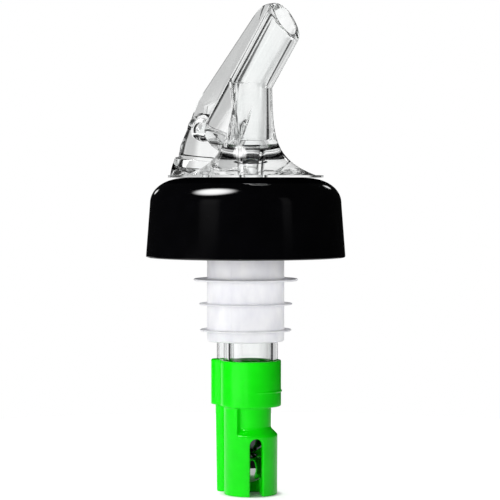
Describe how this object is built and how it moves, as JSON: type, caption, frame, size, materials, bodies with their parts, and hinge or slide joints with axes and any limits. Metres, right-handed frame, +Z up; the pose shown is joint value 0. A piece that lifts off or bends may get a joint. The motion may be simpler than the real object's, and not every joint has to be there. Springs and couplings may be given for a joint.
{
  "type": "measured liquor pourer",
  "caption": "Bottle pourer with a clear bent spout, black cup collar and finned cork; balls in a clear tube with a green cage shut the flow off after a measure.",
  "frame": {"origin": "on the cork's axis, in the plane of the collar's land that rests on a bottle's lip", "axes": "+Z up out of the bottle along the cork's axis, +X the way it pours, symmetric about the XZ plane"},
  "size_m": [0.042, 0.0418, 0.1035],
  "materials": {
    "clear_plastic": "clear polished moulding",
    "black_plastic": "high gloss black moulding",
    "frosted_plastic": "frosted translucent soft moulding",
    "green_plastic": "bright green moulding",
    "steel": "polished ball bearing steel"
  },
  "bodies": {
    "pourer": {"spout": "clear_plastic", "collar": "black_plastic", "cork": "frosted_plastic", "metering_tube": "clear_plastic", "breather_tube": "clear_plastic", "ball_cage": "green_plastic"},
    "cutoff_ball": {"cutoff_ball": "steel"},
    "follower_ball": {"follower_ball": "steel"},
    "breather_ball": {"breather_ball": "steel"}
  },
  "joints": [
    {"name": "cutoff_ball_travel", "type": "slide", "parent": "pourer", "child": "cutoff_ball", "axis": [0, 0, 1], "range_m": [0, 0.0431]},
    {"name": "follower_ball_travel", "type": "slide", "parent": "pourer", "child": "follower_ball", "axis": [0, 0, 1], "range_m": [0, 0.0431]},
    {"name": "breather_ball_lift", "type": "slide", "parent": "pourer", "child": "breather_ball", "axis": [0, 0, 1], "range_m": [0, 0.0028]}
  ],
  "couplings": [
    {"joint": "follower_ball_travel", "follows": "cutoff_ball_travel", "ratio": 1}
  ]
}
